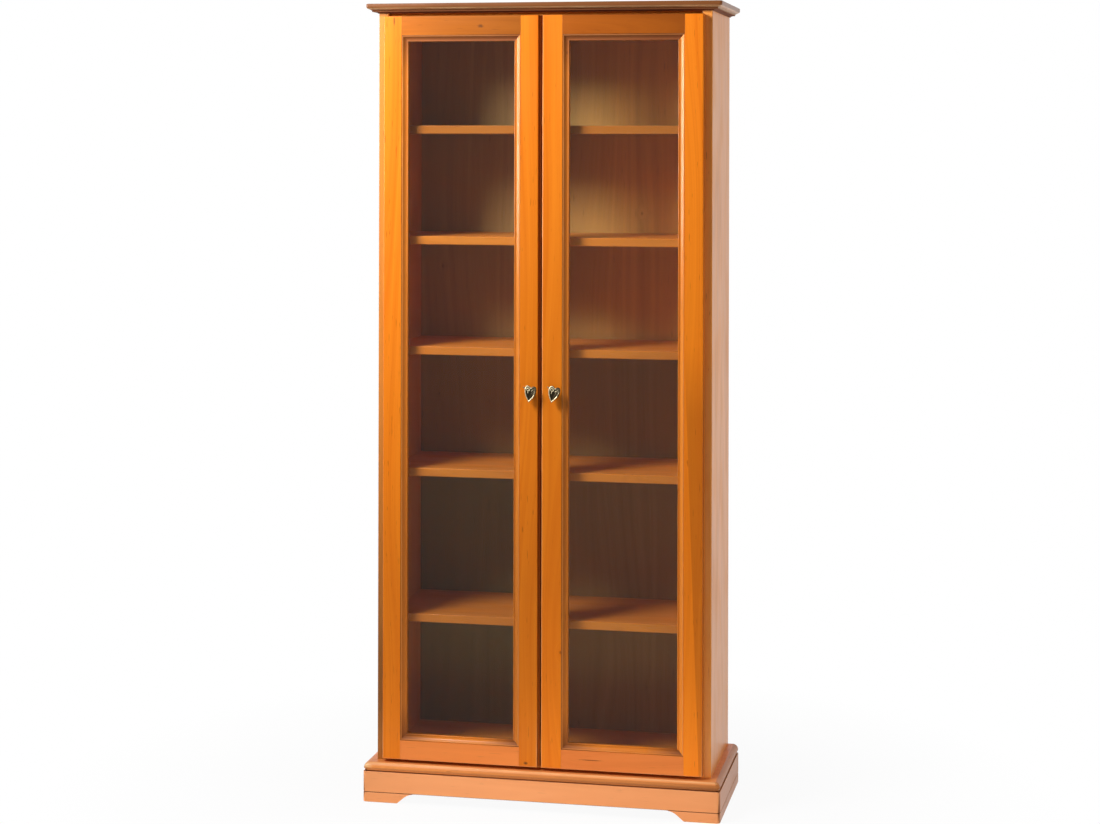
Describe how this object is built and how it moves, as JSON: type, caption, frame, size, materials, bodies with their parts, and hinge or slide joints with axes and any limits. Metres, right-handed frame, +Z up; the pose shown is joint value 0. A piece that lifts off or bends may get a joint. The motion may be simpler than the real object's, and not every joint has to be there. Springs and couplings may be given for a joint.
{
  "type": "bookcase with glass doors",
  "caption": "Tall freestanding bookcase in warm cherry-toned wood, with hinged glazed doors, a moulded cornice, shelves and a plinth cut with a low arch.",
  "frame": {"origin": "on the floor, under the middle of the bounding box, knobs included", "axes": "+Z up, front of the doors towards -Y, +X to the right of someone facing the doors"},
  "size_m": [0.9, 0.376, 2],
  "materials": {
    "case_wood": "satin cherry-toned lacquer",
    "stile_wood": "satin cherry-toned lacquer",
    "rail_wood": "satin cherry-toned lacquer",
    "cornice_wood": "satin cherry-toned lacquer",
    "base_wood": "satin cherry-toned lacquer",
    "shelf_wood": "satin cherry-toned lacquer",
    "back_wood": "matt veneered board",
    "door_glass": "clear float glass",
    "knob_brass": "dark old brass, worn bright at the rims",
    "hinge_steel": "nickel-plated steel",
    "wire_steel": "bright zinc-plated steel wire",
    "catch_plastic": "moulded brown plastic"
  },
  "bodies": {
    "carcass": {"left_side_panel": "case_wood", "right_side_panel": "case_wood", "top_panel": "cornice_wood", "floor_panel": "case_wood", "back_panel": "back_wood", "cornice_board": "cornice_wood", "cornice_cove_front": "cornice_wood", "cornice_cove_left": "cornice_wood", "cornice_cove_right": "cornice_wood", "base_board": "base_wood", "plinth_front": "base_wood", "plinth_side_left": "base_wood", "plinth_side_right": "base_wood", "plinth_back_rail": "case_wood", "shelf_1": "shelf_wood", "shelf_2": "shelf_wood", "shelf_3": "shelf_wood", "shelf_4": "shelf_wood", "shelf_5": "shelf_wood", "left_wire_of_shelf_1": "wire_steel", "right_wire_of_shelf_1": "wire_steel", "left_wire_of_shelf_2": "wire_steel", "right_wire_of_shelf_2": "wire_steel", "left_wire_of_shelf_4": "wire_steel", "right_wire_of_shelf_4": "wire_steel", "left_wire_of_shelf_5": "wire_steel", "right_wire_of_shelf_5": "wire_steel", "left_catch": "catch_plastic", "right_catch": "catch_plastic", "left_hinge_arm_1": "hinge_steel", "right_hinge_arm_1": "hinge_steel", "left_hinge_arm_2": "hinge_steel", "right_hinge_arm_2": "hinge_steel", "left_hinge_arm_3": "hinge_steel", "right_hinge_arm_3": "hinge_steel"},
    "left_door": {"left_door_hinge_stile": "stile_wood", "left_door_meeting_stile": "stile_wood", "left_door_top_rail": "rail_wood", "left_door_bottom_rail": "rail_wood", "left_door_glass": "door_glass", "left_door_glazing_bead": "rail_wood", "left_door_strike_plate": "hinge_steel", "left_door_hinge_cup_1": "hinge_steel", "left_door_hinge_cup_2": "hinge_steel", "left_door_hinge_cup_3": "hinge_steel", "left_door_knob": "knob_brass", "left_door_knob_screw": "hinge_steel"},
    "right_door": {"right_door_hinge_stile": "stile_wood", "right_door_meeting_stile": "stile_wood", "right_door_top_rail": "rail_wood", "right_door_bottom_rail": "rail_wood", "right_door_glass": "door_glass", "right_door_glazing_bead": "rail_wood", "right_door_strike_plate": "hinge_steel", "right_door_hinge_cup_1": "hinge_steel", "right_door_hinge_cup_2": "hinge_steel", "right_door_hinge_cup_3": "hinge_steel", "right_door_knob": "knob_brass", "right_door_knob_screw": "hinge_steel"}
  },
  "joints": [
    {"name": "left_door_hinge", "type": "hinge", "parent": "carcass", "child": "left_door", "pos_m": [-0.41, -0.164, 1.0373], "axis": [0, 0, -1], "range_deg": [0, 100]},
    {"name": "right_door_hinge", "type": "hinge", "parent": "carcass", "child": "right_door", "pos_m": [0.41, -0.164, 1.0373], "axis": [0, 0, 1], "range_deg": [0, 100]}
  ]
}
